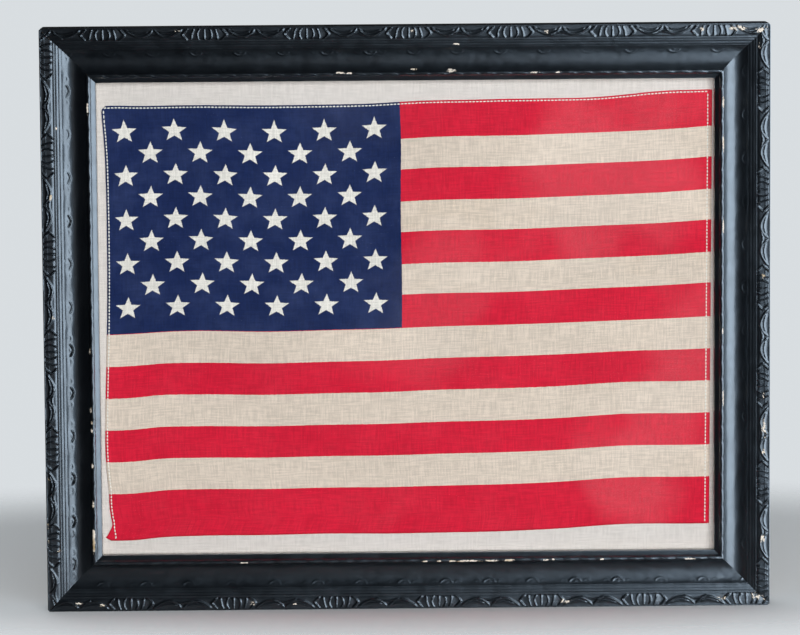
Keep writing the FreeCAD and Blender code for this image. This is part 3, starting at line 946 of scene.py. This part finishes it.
def folds(x, z):
    """Soft folds and creases of the flag, 0 to about 1, x and z in mm from its lower left."""
    height = 0.30 + 0.16 * np.sin(x / 31.0 + 0.6 * np.sin(z / 60.0)) \
        + 0.10 * np.sin(x / 13.3 + z / 90.0) * np.sin(z / 41.0 + 1.0) \
        + 0.10 * np.sin(z / 37.0 + 0.8 * np.sin(x / 70.0))
    for at, lean, depth in ((6.5, 0.0, 0.35), (146.0, 0.02, 0.16), (219.0, -0.01, 0.22),
                            (292.0, 0.015, 0.16), (365.0, 0.01, 0.18)):
        height += depth * ridge(x - at - lean * z, 1.6)
    height += 0.18 * ridge(z - 158.0 - 0.01 * x, 1.6)
    height += 0.16 * ridge((x - 195.0) + 0.95 * (z - 205.0), 2.2) * ridge(z - 195, 22)
    return height


def sag(share, rise):
    """How far the old cloth has crept sideways and up from its straight lines, in mm."""
    side = -1.3 * ridge(rise - 0.76, 0.13) * step(share, 0.0, 0.04) * (1 - step(share, 0.45, 0.6))
    low = ridges(share, (1.9, 0.86, 0.09), (0.6, 0.55, 0.08), (1.0, 0.09, 0.04))
    body = low * (1 - step(rise, 0.30, 0.55)) - 2.0 * ridge(share - 0.255, 0.10) \
        - 1.4 * ridge(share - 0.66, 0.11) * step(rise, 0.42, 0.58)
    edge = 0.9 - 1.8 * step(share, 0.47, 0.62) \
        + ridges(share, (1.0, 0.37, 0.09), (2.4, 0.0, 0.05), (2.9, 0.92, 0.08))
    at_top = step(rise, 0.955, 1.0)
    at_corner = 2.4 * (1 - step(share, 0.0, 0.008)) * (1 - step(rise, 0.0, 0.012))
    return side, body + (edge - body) * at_top + at_corner


def flag_place(share, rise):
    """Where a point of the flag lies, share across it and rise up it, both 0 to 1."""
    left_low, left_high = FLAG_SIDE[0][0], FLAG_SIDE[0][-1]
    left = np.interp(left_low + rise * (left_high - left_low), *FLAG_SIDE)
    right = FLAG_HIGH.x + (0.5 + 2.2 * rise) * MM
    left -= (1.5 + ridges(rise, (1.6, 0.0, 0.10), (1.0, 0.25, 0.22), (0.7, 0.085, 0.02),
                          (-1.9, 0.036, 0.016), (0.8, 1.0, 0.06))) * MM
    x = left + share * (right - left)
    low, high = np.interp(x, *FLAG_FOOT), np.interp(x, *FLAG_TOP)
    z = low + rise * (high - low)
    side, up = sag(share, rise)
    return x + side * MM, z + up * MM


def flag_front(x, z):
    """The front face's y at a point of the flag."""
    lift = folds((x - FLAG_LOW.x) / MM, (z - FLAG_LOW.z) / MM)
    return FLAG_LOW.y - 0.05 * MM - sizes().fold_height * lift


def sew_flag():
    """The flag: a grid drawn to its outline, folded a little, with turned hems."""
    mesh, flat = flat_grid("printed_flag", *FLAG_GRID)
    share, rise = (flat[:, 0] + 1) / 2, (flat[:, 1] + 1) / 2
    x, z = flag_place(share, rise)
    hem = sizes().hem_width
    from_top = (1 - rise) * FLAG_HEIGHT
    from_edge = np.minimum.reduce([share * FLAG_WIDTH, (1 - share) * FLAG_WIDTH, from_top])
    y = flag_front(x, z)
    y -= SEAM_PROUD * (1 - step(from_edge, hem - 0.8 * MM, hem + 0.8 * MM))
    y += 0.12 * MM * ridge(from_edge - sizes().stitch_inset, 0.7 * MM)
    corner = np.minimum(share * FLAG_WIDTH, 4 * MM) + np.minimum(from_top, 4 * MM)
    pull = np.clip(3.0 * MM - corner, 0, None) * 0.5
    place_points(mesh, x + pull, y, z - pull)
    draw_map(mesh, "print", share, rise)
    draw_map(mesh, "threads", share * FLAG_WIDTH, rise * FLAG_HEIGHT)
    piece = dress(mesh, [printed_cotton()])
    thicken(piece, COTTON_THICK)
    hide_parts("flag")
    return piece


def stitch_run(bm, share_of, rise_of, length):
    """Stitches along one edge, share_of and rise_of giving each one's place."""
    count = int(length / sizes().stitch_length)
    middles = (np.arange(count) + 0.5) / count
    ends = [flag_place(share_of(middles + s), rise_of(middles + s))
            for s in (-0.4 / count, 0.4 / count)]
    for x0, z0, x1, z1 in zip(*ends[0], *ends[1]):
        along = Vector((x1 - x0, 0, z1 - z0))
        x, z = (x0 + x1) / 2, (z0 + z1) / 2
        y = float(flag_front(np.array([x]), np.array([z]))[0]) - SEAM_PROUD
        turn = along.to_track_quat("X", "Y").to_matrix().to_4x4()
        size = Matrix.Diagonal((along.length * 1.06, STITCH_WIDE, STITCH_THICK, 1.0))
        bmesh.ops.create_uvsphere(bm, u_segments=6, v_segments=4, radius=0.5,
                                  matrix=Matrix.Translation((x, y, z)) @ turn @ size
                                  @ Matrix.Rotation(math.pi / 2, 4, "Y"))


def sew_stitches():
    """White machine stitching along the flag's top and both sides."""
    bm = bmesh.new()
    inset = sizes().stitch_inset
    near, far = inset / FLAG_WIDTH, 1 - 2.1 * inset / FLAG_WIDTH
    high = 1 - inset / FLAG_HEIGHT

    def up(t):
        return STITCH_RISE + (high - 2 * STITCH_RISE) * t

    stitch_run(bm, lambda t: near + (far - near) * t, lambda t: high + 0 * t, FLAG_WIDTH)
    stitch_run(bm, lambda t: near + 5.2 * MM / FLAG_WIDTH * (1 - step(t, 0.0, 0.034)), up,
               FLAG_HEIGHT)
    stitch_run(bm, lambda t: far + 0 * t, up, FLAG_HEIGHT)
    return dress(mesh_from(bm, "flag_stitching"), [sewing_thread()])


def stretch_linen():
    """Linen over the board: front, rounded edges and the part turned onto the back."""
    bm = bmesh.new()
    bmesh.ops.create_cube(bm, size=1.0)
    size = LINEN_HIGH - LINEN_LOW
    middle = (LINEN_HIGH + LINEN_LOW) / 2
    bmesh.ops.transform(bm, matrix=Matrix.Translation(middle) @ Matrix.Diagonal((*size, 1.0)),
                        verts=bm.verts)
    back = max(bm.faces, key=lambda f: f.calc_center_median().y)
    bmesh.ops.inset_region(bm, faces=[back], thickness=TURNOVER, use_even_offset=True)
    bmesh.ops.delete(bm, geom=[back], context="FACES")
    corners = [e for e in bm.edges if len(e.link_faces) == 2
               and e.calc_face_angle(0.0) > math.radians(60)]
    bmesh.ops.bevel(bm, geom=corners, offset=0.9 * MM, affect="EDGES", segments=3,
                    profile=0.5, material=-1)
    layer = bm.loops.layers.uv.new("threads")
    for face in bm.faces:
        for loop in face.loops:
            co = loop.vert.co
            fold = co.y - LINEN_LOW.y
            wide = abs(co.x) > abs(co.z - MIDDLE_Z) * size.x / size.z
            loop[layer].uv = ((co.x + math.copysign(fold, co.x) * wide),
                              (co.z + math.copysign(fold, co.z - MIDDLE_Z) * (not wide)))
    piece = dress(mesh_from(bm, "stretched_linen"), [linen_cloth()],
                  sharp=math.radians(80))
    thicken(piece, LINEN_THICK)
    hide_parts("mount_linen")
    return piece


# ---- operators


class CASE_OT_moulding(bpy.types.Operator):
    """Carves and paints the four mitred rails"""

    bl_idname = "case.moulding"
    bl_label = "Carved moulding"
    bl_options = {"REGISTER", "UNDO"}

    def execute(self, context):
        for side, plan in RAILS.items():
            carve_rail(side, plan)
        nails = plated_steel((0.42, 0.40, 0.37), 0.35, 0.5, 0.6, name="nail_steel")
        refinish("corner_v_nails", nails)
        return {"FINISHED"}


class CASE_OT_glazing(bpy.types.Operator):
    """Finishes the glass and the spacers behind it"""

    bl_idname = "case.glazing"
    bl_label = "Glass and spacers"
    bl_options = {"REGISTER", "UNDO"}

    def execute(self, context):
        refinish("glass_pane", picture_glass())
        strip = pressed_board((0.62, 0.60, 0.56), (0.55, 0.53, 0.49), 700.0, 0.55,
                              name="spacer_plastic")
        for side in RAILS:
            refinish(f"spacer_{side}", strip)
        return {"FINISHED"}


class CASE_OT_mount(bpy.types.Operator):
    """Stretches the linen over its board"""

    bl_idname = "case.mount"
    bl_label = "Linen mount"
    bl_options = {"REGISTER", "UNDO"}

    def execute(self, context):
        linen = stretch_linen()
        rag = pressed_board((0.80, 0.78, 0.72), (0.70, 0.67, 0.60), 420.0, 0.75, name="rag_board")
        refinish("mount_board", rag)
        return {"FINISHED"}


class CASE_OT_flag(bpy.types.Operator):
    """Lays the printed flag on the linen and stitches its hems"""

    bl_idname = "case.flag"
    bl_label = "Printed flag"
    bl_options = {"REGISTER", "UNDO"}

    def execute(self, context):
        flag = sew_flag()
        thread = sew_stitches()
        return {"FINISHED"}


class CASE_OT_back(bpy.types.Operator):
    """Finishes the backing board, turn buttons, hangers and bumpers"""

    bl_idname = "case.back"
    bl_label = "Back and hardware"
    bl_options = {"REGISTER", "UNDO"}

    def execute(self, context):
        board = pressed_board(colours().hardboard, shade(colours().hardboard, 0.72), 900.0, 0.42,
                              name="hardboard")
        refinish("backing_board", board)
        button = plated_steel((0.66, 0.64, 0.60), 0.28, 0.42, 0.5, name="button_steel")
        for number in range(1, 7):
            softened_copy(f"turn_button_{number}", f"pressed_button_{number}", button,
                          0.18 * MM, f"button_{number}")
        hanger = plated_steel((0.66, 0.64, 0.60), 0.25, 0.40, 0.55, name="hanger_steel")
        for side in ("left", "right"):
            softened_copy(f"hanger_strap_{side}", f"folded_strap_{side}", hanger,
                          0.12 * MM)
            softened_copy(f"hanger_ring_{side}", f"bent_ring_{side}", hanger,
                          0.3 * MM, f"ring_{side}")
            softened_copy(f"bumper_{side}", f"domed_bumper_{side}", bumper_rubber(),
                          0.8 * MM)
        screw = plated_steel((0.60, 0.58, 0.54), 0.25, 0.40, 0.45, name="screw_steel")
        for node, name in (("turn_button_screws", "button_screws"),
                           ("hanger_screws", "strap_screws")):
            softened_copy(node, name, screw, 0.25 * MM)
        return {"FINISHED"}


class CASE_OT_stage(bpy.types.Operator):
    """Sets the floor, lamps, background and camera"""

    bl_idname = "case.stage"
    bl_label = "Stage"
    bl_options = {"REGISTER", "UNDO"}

    def execute(self, context):
        lay_floor()
        surround(context.scene)
        hang_lamps()
        place_camera(context.scene)
        context.scene.view_settings.view_transform = "Standard"
        return {"FINISHED"}


# ---- stage

# Lamps: name, place, aim, size, watts, colour, and whether they light diffusely and in mirrors.
LAMPS = (
    ("window_lamp", (1.03, -0.285, 0.31), (0.542, 0.587, 0.31), (1.54, 1.06), 28.0,
     (0.79, 0.90, 1.0), False, True),
    ("fill_lamp", (0.5, -2.9, 0.6), (0.0, 0.0, MIDDLE_Z), (2.0, 1.4), 110.0,
     (1.0, 1.0, 1.0), True, False),
    ("back_lamp", (-0.7, 2.4, 1.3), (0.0, 0.0, MIDDLE_Z), (2.0, 1.4), 30.0,
     (1.0, 1.0, 1.0), True, False),
)
CAMERA_PLACE, CAMERA_AIM = (-0.0458, -3.2483, 0.5810), (0.012515, 0.993505, -0.113097)
CAMERA_ROLL = math.radians(-0.42)
FLOOR_RADIUS = 1.4


def lay_floor():
    """A pale floor that fades into the background."""
    bm = bmesh.new()
    bmesh.ops.create_circle(bm, cap_ends=True, segments=96, radius=FLOOR_RADIUS)
    floor = put("studio_floor", mesh_from(bm, "studio_floor"))
    floor.data.materials.append(floor_paper())


def surround(scene):
    """Pale surroundings, with a dim room in front for mirrored rays."""
    scene.world = bpy.data.worlds.new("studio")
    scene.world.use_nodes = True
    tree = scene.world.node_tree
    tree.nodes.clear()
    lay = Layout(tree)
    toward = lay.value("TexCoord", output="Generated")
    right, away, _ = lay.parts(toward)
    blotches = lay.patches(toward, (26.0, 3.0, 0.5), 0.46, 0.62)
    in_front = lay.between(away, -0.85, -0.95) * blotches
    to_right = lay.between(right, -0.03, 0.06) * in_front
    path = lay.node("LightPath").outputs
    mirrored = lay.maths("MAXIMUM", path["Is Glossy Ray"], path["Is Transmission Ray"])
    room = lay.mix(to_right, (0.012, 0.013, 0.015), (0.62, 0.60, 0.60))
    seen = mirrored * lay.between(away, 0.15, 0.55) | path["Is Camera Ray"]
    colour = lay.mix(seen | lay.between(away, 0.0, 0.6), room, (0.690, 0.725, 0.750))
    shown = lay.node("Background", {"Color": colour, "Strength": 1.0})
    output = lay.node("OutputWorld")
    tree.links.new(shown.outputs[0], output.inputs["Surface"])


def hang_lamps():
    """One window at the right for the mirrored streaks, and two soft lamps that light it all."""
    for name, place, aim, size, watts, colour, diffuse, glossy in LAMPS:
        data = bpy.data.lights.new(name, "AREA")
        data.shape, data.energy, data.color = "RECTANGLE", watts, colour
        data.size, data.size_y = size
        lamp = put(name, data)
        lamp.visible_camera = lamp.visible_transmission = False
        lamp.visible_diffuse, lamp.visible_glossy = diffuse, glossy
        lamp.location = place
        turn = (Vector(aim) - lamp.location).to_track_quat("-Z", "Y")
        lamp.rotation_euler = turn.to_euler()


def place_camera(scene):
    """A long lens a little above the middle."""
    data = bpy.data.cameras.new("camera")
    data.lens, data.sensor_width, data.clip_end = 202.5, 36.0, 60.0
    camera = scene.camera = put("camera", data)
    camera.location = CAMERA_PLACE
    turn = Vector(CAMERA_AIM).to_track_quat("-Z", "Y") @ Quaternion((0, 0, 1), CAMERA_ROLL)
    camera.rotation_euler = turn.to_euler()


# ---- panel and start


class CASE_PT_pieces(bpy.types.Panel):
    """Lists the pieces and what may be changed on them"""

    bl_idname = "CASE_PT_pieces"
    bl_label = "Display case"
    bl_space_type = "VIEW_3D"
    bl_region_type = "UI"
    bl_category = "Display case"

    def draw(self, context):
        for group in (context.scene.case_sizes, context.scene.case_colours):
            column = self.layout.column()
            for name in group.__annotations__:
                column.prop(group, name)
        for operator in OPERATORS:
            self.layout.operator(operator.bl_idname)


OPERATORS = (CASE_OT_moulding, CASE_OT_glazing, CASE_OT_mount, CASE_OT_flag, CASE_OT_back,
             CASE_OT_stage)
CLASSES = (CaseSizes, CaseColours, *OPERATORS, CASE_PT_pieces)


def register():
    for cls in CLASSES:
        bpy.utils.register_class(cls)
    bpy.types.Scene.case_sizes = bpy.props.PointerProperty(type=CaseSizes)
    bpy.types.Scene.case_colours = bpy.props.PointerProperty(type=CaseColours)


def unregister():
    del bpy.types.Scene.case_sizes
    del bpy.types.Scene.case_colours
    for cls in reversed(CLASSES):
        bpy.utils.unregister_class(cls)


def main():
    register()
    for operator in OPERATORS:
        getattr(bpy.ops.case, operator.bl_idname.split(".")[1])()
    bpy.context.view_layer.update()


if __name__ == "__main__":
    main()
